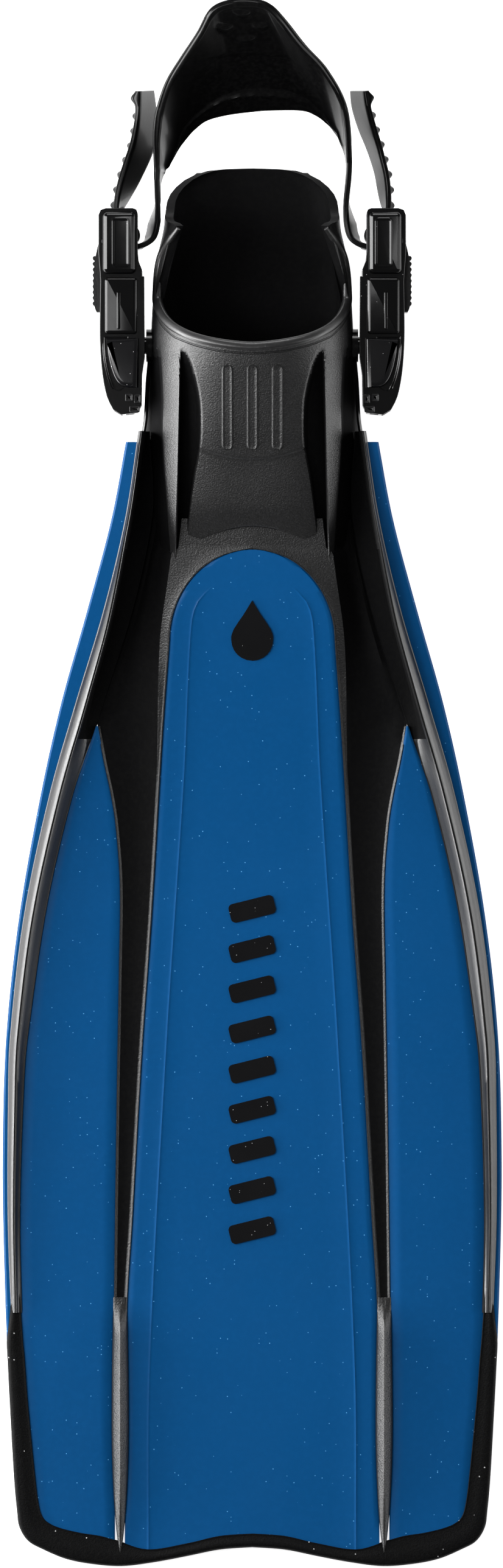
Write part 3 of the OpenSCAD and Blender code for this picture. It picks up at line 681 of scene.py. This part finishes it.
def outer_point(a, i):
    """Columns on the instep keep to the ridges, rows keep to the two curved steps."""
    u = 180 - a if a > 90 else a
    v = row_y(a, i, 58)
    fixed = (1 - smooth(184, 200, v)) * smooth(76, 92, v)
    if u < 0 or fixed == 0:
        p = pocket_point(v, a, 0)
        if p[2] > 47 and i - len(ROWS) - MID_ROWS in (2, 3) and v < 226:
            p[2] -= 0.6
        return p

    def x_of(y):
        w = at(POCKET_HALF, y)
        reach = 0.97 * w
        if u < 33:
            return w - (w - reach) * (u / 33) ** 2
        xc, xe, x1 = ridge_x(y), at(WALL_X, y), at(SCOOP_IN, y)
        band = xe - xc
        xs = [reach, xe + 1.5, xe + 0.3, xc + band * 0.96, xc + band * 0.5, xc + band * 0.1,
              xc - 0.25, xc - 1.2, x1 + (xc - 1.2 - x1) * 0.5, x1 + 0.4, x1 - 0.5, 0]
        return float(np.interp((u - 33) / 57, [0, 0.1, 0.16, 0.2, 0.28, 0.36, 0.4, 0.48, 0.56,
                                               0.64, 0.68, 1], xs))

    x = x_of(v)
    lift = min(abs(x), 34) ** 2
    one = smooth(92, 118.2, v) * (1 - smooth(118.2, 146, v))
    two = smooth(126, 149, v) * (1 - smooth(149, 188, v))
    y = v + fixed * (-0.0106 * lift * one + 0.0085 * lift * two)
    x = x_of(y)
    w = at(POCKET_HALF, y)
    target = x_angle(y, min(x, w))
    b = bend(u, y) * (1 - fixed) + target * fixed
    p = pocket_point(y, a, 0, b)
    if p[2] < at(POCKET_LOW, y) + 2:
        return p
    p[2] += relief(p[0], y) * smooth(0.0, 0.3, u / 33)
    if y < 125:
        if abs(p[0]) < ridge_x(y) - 0.7:
            p[2] -= (p[2] - blade_z(y) + 2.5) * (1 - smooth(-0.1, 0.12, y - step_y(p[0])))
        p[2] = min(p[2], blade_z(y) + line_at(CAP, y))
    if p[2] > 47 and i - len(ROWS) - MID_ROWS in (2, 3) and v < 226:
        p[2] -= 0.6
    return p


outer_grid = [[outer_point(a, i) for a in angles] for i in range(N_ROWS)]
inner_grid = [[pocket_point(row_y(a, i, 62), a, 4) for a in angles] for i in range(N_ROWS)]
n, m = N_ROWS, len(angles)
verts = [p for r in outer_grid for p in r] + [p for r in inner_grid for p in r]
o = n * m
faces = []
for i in range(n - 1):
    for j in range(m):
        b = (j + 1) % m
        faces += [(i * m + j, i * m + b, (i + 1) * m + b, (i + 1) * m + j),
                  (o + (i + 1) * m + j, o + (i + 1) * m + b, o + i * m + b, o + i * m + j)]
e = (n - 1) * m
faces += [(e + j, e + (j + 1) % m, o + e + (j + 1) % m, o + e + j) for j in range(m)]
faces += [tuple(range(m))[::-1], tuple(o + j for j in range(m))]
pocket = add_mesh("pocket_skin", verts, faces, RUBBER, "fin", ["foot_pocket"], 42)


def painted_shade_faces(x, y, z):
    """Painted shade: the shell's inside, the two scoops and the ditches beside the ridges, turned
    matt black.
    """
    y0 = min(max(y, 58), 284)
    a, w, n, z0 = abs(x), at(POCKET_HALF, y0) - 2, at(POCKET_FULL, y0), at(POCKET_LOW, y0)
    if y > 60 and a < w and 5.5 < z:
        if z < z0 or z < z0 + (at(POCKET_Z, y0) - 2 - z0) * (1 - (a / w) ** n) ** (1 / n):
            return True
    xc = ridge_x(y)
    if 94 < y < 198:
        if at(SCOOP_IN, y) + 1.0 < a < xc - 0.4 and (y > step_y(x) or a > xc - 1.2):
            return True
        if a > at(WALL_X, y) + 0.2 and z > at(POCKET_LOW, y) + 4 and y < 196:
            return True
    return False


# painted shade on the pocket's inside, scoops and ditches
paint_shade(pocket, painted_shade_faces)

# rolled rim
side_pts = [pocket_point(y, 32.9, 1.3) for y in (255, 251, 247, 242, 237, 232, 226)]
side_pts += [pocket_point(end_y(a), a, 1.3) for a in (33, 36, 40, 45, 52, 60, 68, 76, 84, 90)]
path = side_pts + [p * np.array([-1, 1, 1]) for p in side_pts[-2::-1]]
path = curve(path, 5)
rings = []
for i, c in enumerate(path):
    d = unit(path[min(i + 1, len(path) - 1)] - path[max(i - 1, 0)])
    up = unit(np.array([0.5 * c[0] / 45, 0.25, 1.0]))
    across = unit(np.cross(d, up))
    up = np.cross(across, d)
    fat = 0.55 + 0.45 * smooth(0, 10, min(i, len(path) - 1 - i))
    ring = []
    for k in range(20):
        t = 2 * math.pi * k / 20
        cx, sz = math.cos(t), math.sin(t)
        px = 2.15 * fat * math.copysign(abs(cx) ** 0.8, cx)
        pz = 1.9 * fat * math.copysign(abs(sz) ** 0.8, sz)
        ring.append(c + across * px + up * pz)
    rings.append(ring)
verts, faces = ring_solid(rings)
add_mesh("rim_skin", verts, faces, RUBBER_SMOOTH, "fin", ["pocket_rim"])

# three raised bars on the instep
for k, x0 in enumerate((-11.4, 0, 11.4)):
    top, low = [], []
    for i in range(61):
        s = i / 60
        y = 152.9 + 39.2 * s
        end = min(s, 1 - s) * 39.2
        half_w = 2.75 * math.sqrt(max(0.0, 1 - max(0, 1 - end / 2.75) ** 2)) + 0.02
        row = []
        for j in range(15):
            u = -1 + j / 7
            edge = min(1 - abs(u), end / 2.75)
            h = 1.25 * smooth(0, 0.24, edge) - 0.35 * smooth(0.3, 0.55, edge)
            x = x0 + half_w * u
            base = pocket_point(y, 60, 0, x_angle(y, abs(x)))[2]
            row.append((x, y, base + h - 0.1))
        top.append(row)
        low.append([(x, y, z - 3) for x, y, z in row])
    verts, faces = two_skins(top, low)
    add_mesh("instep_bar_%d" % (k + 1), verts, faces, RUBBER, "fin", ["instep_bars"])


# ---------- heel strap ----------

PAD_LOW = [(-42.9, 276.5, 33), (-41.6, 281.5, 33), (-37.9, 287.8, 34), (-34.8, 293.2, 35.5),
           (-31.2, 297.4, 37.5), (-26.6, 302, 41), (-20.8, 306, 44), (-11.4, 308.4, 46.2),
           (0, 309.8, 47), (8.2, 310.4, 46.8), (22.2, 310.4, 45), (28.8, 308.4, 42.5),
           (34.3, 305, 39.5), (39, 301, 37), (42.2, 296, 35.5), (43.9, 289.5, 34),
           (44.2, 284.6, 33)]
PAD_HIGH = [(-43.7, 277.2, 57), (-43.7, 285.1, 58), (-44.0, 295, 61), (-43.7, 301.5, 64),
            (-42.4, 309.5, 68), (-38.4, 321.3, 75), (-31.6, 332.4, 83), (-24.2, 343.5, 91),
            (-18.4, 353.6, 96), (-10.2, 357.3, 98), (-1.5, 357.9, 98.2), (6.5, 356, 97.2),
            (13.2, 349.6, 94.4), (22.3, 338.4, 86), (33.4, 326.6, 77), (42.4, 309.4, 67),
            (44.6, 285.1, 57)]
ARC = [(-41, 282), (-39.4, 286.6), (-36.6, 293.2), (-34.7, 297.8), (-31.9, 302.5), (-27.2, 307.2),
       (-20.7, 311.9), (-13.2, 315.6), (-6.7, 317.2), (0, 317.9), (8.2, 317.9), (17.5, 317),
       (26, 314.2), (31.6, 310.4), (36.2, 306.2), (40.9, 300.6), (43.5, 293)]


def band(name, low, high, thick, mat, body, replaces, rows=12, inner=None, outer=None,
         bow=None, groove=0.35, slot="strap"):
    """Strap loft between a lower and an upper edge line."""
    n = len(low)
    centre = np.array([[low[i] * (1 - k / rows) + high[i] * k / rows + (bow(i, k / rows)
                        if bow else 0) for k in range(rows + 1)] for i in range(n)])
    rings = []
    for i in range(n):
        ring_in, ring_out = [], []
        a, b = max(i - 1, 0), min(i + 1, n - 1)
        for k in range(rows + 1):
            c, d = max(k - 1, 0), min(k + 1, rows)
            nrm = unit(np.cross(centre[b][k] - centre[a][k], centre[i][d] - centre[i][c]))
            t = thick(i) / 2
            s = k / rows
            near = min(s, 1 - s) * np.linalg.norm(high[i] - low[i])
            t2 = t * (0.72 + 0.28 * smooth(0, 0.8, near))
            ring_in.append(centre[i][k] + nrm * (t2 + (inner(i, s, centre[i][k]) if inner else 0)))
            ring_out.append(centre[i][k] - nrm * (t2 + (outer(i, s) if outer else 0)))
        up = unit(high[i] - low[i])
        lip_top = [ring_in[-1] * (1 - q) + ring_out[-1] * q + up * h
                   for q, h in ((0.12, 0.3), (0.3, 0.32), (0.38, 0.32 - groove),
                                (0.62, 0.32 - groove), (0.7, 0.32), (0.88, 0.3))]
        lip_low = [ring_out[0] * (1 - q) + ring_in[0] * q - up * h
                   for q, h in ((0.2, 0.25), (0.8, 0.25))]
        rings.append(ring_in + lip_top + ring_out[::-1] + lip_low)
    verts, faces = ring_solid(rings)
    return add_mesh(name, verts, faces, mat, body, replaces, 45)


m = 10
low_line, high_line = curve(PAD_LOW, m), curve(PAD_HIGH, m)
last = len(low_line) - 1


def pad_bow(i, s):
    return np.array([0, 0, -3 * math.sin(math.pi * s) * min(1, i / (4 * m), (last - i) / (4 * m))])


def pad_thick(i):
    return 2.6 + 1.4 * min(1, i / (3 * m), (last - i) / (3 * m))


def pad_inner(i, s, p):
    """Raised lower band, thumb recess and four grip bars on the pad's inner face."""
    ends = smooth(0, 2 * m, min(i, last - i))
    x, y = p[0], p[1]
    arc = line_at(ARC, x)
    h = 0.5 * (1 - smooth(-0.5, 0.6, y - arc)) + 0.45 * math.exp(-((y - arc) / 0.7) ** 2)
    side = 1 - smooth(15, 24, abs(x + 1))
    step = 335.2 - 0.006 * (x + 1) ** 2
    h -= 0.6 * smooth(-0.2, 1.6, y - arc) * (1 - smooth(-0.4, 0.6, y - step)) * side
    for u, v in ((-13.4, 346.9), (-4.8, 353.4), (-3.1, 342.2), (3.6, 348)):
        d = ((x - u) / 3.8) ** 2 + ((y - v - 0.04 * (x - u) ** 2) / 1.1) ** 2
        h += 0.9 * math.exp(-d * d)
    return h * ends


band("heel_pad_skin", low_line, high_line, pad_thick, STRAP, "heel_strap", ["heel_pad"],
     rows=60, inner=pad_inner, bow=pad_bow)


def column(path, low, high):
    return ([np.array([q[0], q[1], low]) for q in path],
            [np.array([q[0], q[1], high]) for q in path])


ROLL = np.array([56.0, 252.0])
WRAP_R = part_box("roller_right")[1][0] / MM - ROLL[0] + 0.3 + 1.3
TAIL_X = ROLL[0] + WRAP_R
WRAP_END = {1: 265.0, -1: 260.0}
PAD_START = {1: 285.4, -1: 277.4}


def wrap_path(side):
    path = curve([(42.9, WRAP_END[side]), (42.9, 257.4), (44.5, 251.4), (48.2, 248.2),
                  (ROLL[0] + WRAP_R * math.cos(math.radians(240)),
                   ROLL[1] + WRAP_R * math.sin(math.radians(240)))], 6)
    path += [ROLL + WRAP_R * np.array([math.cos(math.radians(a)), math.sin(math.radians(a))])
             for a in range(246, 361, 6)]
    return path + [np.array([TAIL_X, y]) for y in (254, 257, 260, 262)]


def arm_path(side):
    return curve([(42.9, WRAP_END[side] - 0.4), (43.4, 275), (44.2, 285.4)], 10)


TAIL_Y = (261.6, 267, 273.6, 280, 286.7, 293, 299.6, 306, 312, 318)
TAIL_TOP = {1: (62.3, 62.8, 62.6, 61.8, 60.2, 58.6, 56.6, 54.8, 53.2, 52.2),
            -1: (62.3, 62.5, 61.4, 59.8, 57.6, 55.5, 54, 53, 52.6, 52.4)}
TAIL_LEAN = {1: (0, 3, 4.4, 4.8, 5.2, 6, 6.8, 7.2, 7, 6.4),
             -1: (0, 4.4, 7.6, 9.4, 10.4, 10.4, 9.8, 8.8, 7.6, 6.6)}
WRAP_LEAN = [(246, 0), (248.5, 1.8), (251.4, 4), (257.4, 4.2), (265, 1.0), (268, 0)]


def turn(path, side):
    return [np.array([q[0] * side, q[1]]) for q in path]


for tag, side in SIDES:
    lo, hi = column(turn(wrap_path(side), side), STRAP_LOW + 0.4, STRAP_LOW + STRAP_W - 0.4)
    for q in lo:
        if abs(q[0]) < 50:
            q[0] += side * line_at(WRAP_LEAN, q[1])
    band("wrap_skin_" + tag, lo, hi, lambda i: 2.6, STRAP, "strap_core",
         ["strap_wrap_" + tag])
    end_low = np.array(PAD_LOW[-1] if side > 0 else PAD_LOW[0])
    end_high = np.array(PAD_HIGH[-1] if side > 0 else PAD_HIGH[0])
    lo, hi = column(turn(arm_path(side), side), STRAP_LOW + 0.2, STRAP_LOW + STRAP_W - 0.2)
    stop = PAD_START[side]
    lo = [q for q in lo if q[1] < stop + 1.5]
    hi = [q for q in hi if q[1] < stop + 1.5]
    for k, (a, b) in enumerate(zip(lo, hi)):
        f = smooth(0, 1, k / (len(lo) - 1))
        a[0] = (a[0] + side * line_at(WRAP_LEAN, a[1])) * (1 - f) + end_low[0] * f
        b[0] = b[0] * (1 - f) + end_high[0] * f
        a[1] += f * (end_low[1] + 0.4 - a[1]) * (k / (len(lo) - 1)) ** 3
    piece = band("arm_skin_" + tag, lo, hi, lambda i: 2.6, STRAP, None, ["strap_arm_" + tag])
    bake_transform(piece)
    tops = [np.array([side * x, y, STRAP_LOW + STRAP_W - 1.2])
            for x, y in zip(TAIL_TOP[side], TAIL_Y)]
    feet = [np.array([side * (x - d), y + 0.12 * d, STRAP_LOW + 1.2])
            for x, y, d in zip(TAIL_TOP[side], TAIL_Y, TAIL_LEAN[side])]
    hi, lo = curve(tops, 14), curve(feet, 14)
    run = np.concatenate([[0], np.cumsum([np.linalg.norm(b - a) for a, b in zip(hi, hi[1:])])])

    def teeth(i, s, p=None):
        u = run[i]
        grip = 2.4 * math.exp(-((u - run[-1] + 3.4) / 2.4) ** 2)
        phase = (u - 4.0) / 7.0
        tooth = max(0.0, math.cos(2 * math.pi * (phase - round(phase)))) ** 0.7
        on = smooth(1, 3, u) * (1 - smooth(run[-1] - 10, run[-1] - 7, u))
        return 1.5 * tooth * on * (1 - smooth(0.86, 1, abs(2 * s - 1))) + grip

    piece = band("tail_skin_" + tag, lo, hi, lambda i: 2.6, STRAP, None,
                 ["strap_tail_" + tag], rows=16,
                 **{"inner" if side > 0 else "outer": teeth})
    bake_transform(piece)


# ---------- frame nodes that keep their shape ----------

def keep(name, mat, bevel=0.0, segments=2):
    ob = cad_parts[name]
    for s in ob.material_slots:
        s.material = mat
    if not ob.material_slots:
        ob.data.materials.append(mat)
    if bevel:
        w = ob.modifiers.new("weld", "WELD")
        w.merge_threshold = 1e-6
        b = ob.modifiers.new("round", "BEVEL")
        b.width = bevel * MM
        b.segments = segments
        b.limit_method = "ANGLE"
        b.angle_limit = math.radians(40)
        b.harden_normals = True
    return ob


keep("emblem", INLAY)
keep("graphic_bars", INLAY)
keep("sole_plate", SOLE_RUBBER)
for tag, side in SIDES:
    keep("post_" + tag, GLOSS)
    keep("post_cap_" + tag, GLOSS)
    keep("buckle_frame_" + tag, GLOSS, 0.7, 3)
    keep("arm_panel_" + tag, GLOSS, 0.15)
    keep("roller_pin_" + tag, STEEL)
    keep("lever_pin_" + tag, STEEL)
    keep("lever_spring_" + tag, STEEL)
    keep("roller_" + tag, RIDGED)
    keep("release_lever_" + tag, RIDGED, 0.25)


# ---------- shells and ribs on the buckles ----------

def shell(name, outline, levels, mat, body):
    """Moulded cover: an outline drawn in by each level's inset, at each level's height."""
    p = np.array(outline, float)
    n = len(p)
    d = np.array([unit(p[(i + 1) % n] - p[i - 1]) for i in range(n)])
    inward = np.stack([-d[:, 1], d[:, 0]], 1)
    area = sum(p[i - 1][0] * p[i][1] - p[i][0] * p[i - 1][1] for i in range(n))
    if area < 0:
        inward = -inward
    rings = [[(q[0] + w[0] * k, q[1] + w[1] * k, z) for q, w in zip(p, inward)]
             for k, z in levels]
    verts, faces = ring_solid(rings)
    return add_mesh(name, verts, faces, mat, body, (), 30)


def rounded(x0, y0, x1, y1, r):
    out = []
    for cx, cy, a0 in ((x1 - r, y1 - r, 0), (x0 + r, y1 - r, 90), (x0 + r, y0 + r, 180),
                       (x1 - r, y0 + r, 270)):
        out += [(cx + r * math.cos(math.radians(a0 + t)), cy + r * math.sin(math.radians(a0 + t)))
                for t in range(0, 91, 15)]
    return out


for tag, side in SIDES:
    body = "buckle_" + tag

    def at_side(p):
        return [(side * x, y) for x, y in p]
    shell("block_shell_" + tag, at_side(rounded(53.2, 234.0, 68.6, 262.6, 2.4)),
          [(0, 59.5), (0, 61.2), (0.4, 62.2), (1.1, 62.9), (2.1, 63.2), (2.3, 63.15)],
          GLOSS, body)
    shell("block_inset_" + tag, at_side(rounded(56.2, 237.0, 64.2, 259.8, 1.8)),
          [(0, 62.6), (0, 63.35), (0.25, 63.5), (0.8, 63.45), (1.1, 63.25), (1.6, 63.2)],
          GLOSS, body)
    shell("waist_shell_" + tag, at_side(rounded(52.6, 206.4, 67.6, 232.4, 1.6)),
          [(0, 59.5), (0, 60.9), (0.3, 61.5), (0.9, 61.9), (1.7, 62.0)], GLOSS, body)
    shell("waist_line_" + tag, at_side(rounded(60.4, 208.6, 62.0, 226.0, 0.75)),
          [(0, 61.4), (0, 62.1), (0.2, 62.35), (0.5, 62.45)], GLOSS, body)
    curve_out = [tuple(q) for q in curve([(66.8, 204.6), (66.4, 198), (65.5, 193.4),
                                          (64.6, 190), (63.3, 186.6), (61.6, 184),
                                          (59.2, 182.4), (55, 181.9)], 3)]
    shell("arm_shell_" + tag, at_side([(51.8, 204.6)] + curve_out + [(52, 181.9)]),
          [(0, 59.5), (0, 61.2), (0.35, 62.1), (0.9, 62.7), (1.8, 63.0), (2.6, 63.05)],
          INLAY, body)
    for k, f in enumerate((0.3, 0.58, 0.84)):
        rings = []
        path = [(66.9 + 2.6 * f, 205), (66.6 + 2.5 * f, 197), (65.4 + 2.8 * f, 190.5),
                (63.6 + 3.2 * f, 185 - f), (61.6 + 3.6 * f, 181.6 - 2 * f)]
        path = curve(path, 6)
        for i, c in enumerate(path):
            r = 0.42 * (0.3 + 0.7 * smooth(0, 4, min(i, len(path) - 1 - i)))
            rings.append([(side * (c[0] + r * math.cos(t)), c[1], 61.0 - 0.5 * f + r * math.sin(t))
                          for t in np.linspace(0, 2 * math.pi, 9)[:-1]])
        verts, faces = ring_solid(rings)
        add_mesh("arm_rib_%s_%d" % (tag, k + 1), verts, faces, GLOSS, body, ())
    for k, box in enumerate(((54.6, 175.6, 58.0, 179.2), (50.9, 174.7, 54.0, 178.9),
                             (51.4, 170.6, 56.2, 173.6))):
        shell("arm_end_%s_%d" % (tag, k + 1), at_side(rounded(*box, 0.6)),
              [(0, 60.2), (0, 61.5), (0.2, 61.75), (0.6, 61.7), (0.8, 61.2), (1.2, 61.15)],
              RIDGED, body)


# ---------- stage, camera, light ----------

scene = bpy.context.scene
scene.view_settings.view_transform = "Standard"
floor_mat = bpy.data.materials.new("floor")
floor_mat.use_nodes = True
fb = floor_mat.node_tree.nodes["Principled BSDF"]
fb.inputs["Base Color"].default_value = (0.93, 0.93, 0.93, 1)
fb.inputs["Roughness"].default_value = 0.9
fb.inputs["Specular IOR Level"].default_value = 0.1
fb.inputs["Emission Color"].default_value = (1, 1, 1, 1)
fb.inputs["Emission Strength"].default_value = 0.8
me = bpy.data.meshes.new("floor")
me.from_pydata([(-4, -4, 0), (4, -4, 0), (4, 4, 0), (-4, 4, 0)], [], [(0, 1, 2, 3)])
floor = bpy.data.objects.new("floor", me)
scene.collection.objects.link(floor)
me.materials.append(floor_mat)

world = bpy.data.worlds.new("studio")
scene.world = world
world.use_nodes = True
bg = world.node_tree.nodes["Background"]
bg.inputs["Color"].default_value = (1, 1, 1, 1)
bg.inputs["Strength"].default_value = 0.16


def lamp(name, place, target, size, power, size_y=None):
    data = bpy.data.lights.new(name, "AREA")
    data.shape = "RECTANGLE"
    data.size = size
    data.size_y = size_y or size
    data.energy = power
    ob = bpy.data.objects.new(name, data)
    scene.collection.objects.link(ob)
    ob.visible_camera = False
    ob.location = place
    aim = Vector(target) - Vector(place)
    ob.rotation_euler = aim.to_track_quat("-Z", "Y").to_euler()


lamp("key_left", (-1.4, 0.3, 0.9), (0, 0.05, 0.03), 0.5, 44, 1.6)
lamp("top_left", (-0.8, 0.2, 1.2), (0, 0.0, 0.03), 0.4, 13, 1.4)
lamp("low_left", (-1.2, -0.05, 0.16), (0, 0.0, 0.05), 1.7, 32, 0.22)
lamp("fill_right", (1.6, 0.2, 0.8), (0, 0.0, 0.03), 0.4, 8, 1.8)
lamp("low_right", (1.3, -0.05, 0.16), (0, 0.0, 0.05), 1.7, 8, 0.2)
lamp("back", (0.1, 1.6, 0.8), (0, 0.2, 0.05), 0.9, 12, 0.4)

cam_data = bpy.data.cameras.new("camera")
cam = bpy.data.objects.new("camera", cam_data)
scene.collection.objects.link(cam)
HEIGHT = 9.5
HALF_FRAME = 0.3614
cam.location = (-0.0003, 0.0004, HEIGHT)
cam.rotation_euler = (0, 0, 0)
cam_data.sensor_width = 36
cam_data.lens = cam_data.sensor_width / 2 * HEIGHT / HALF_FRAME
cam_data.clip_end = 100
scene.camera = cam
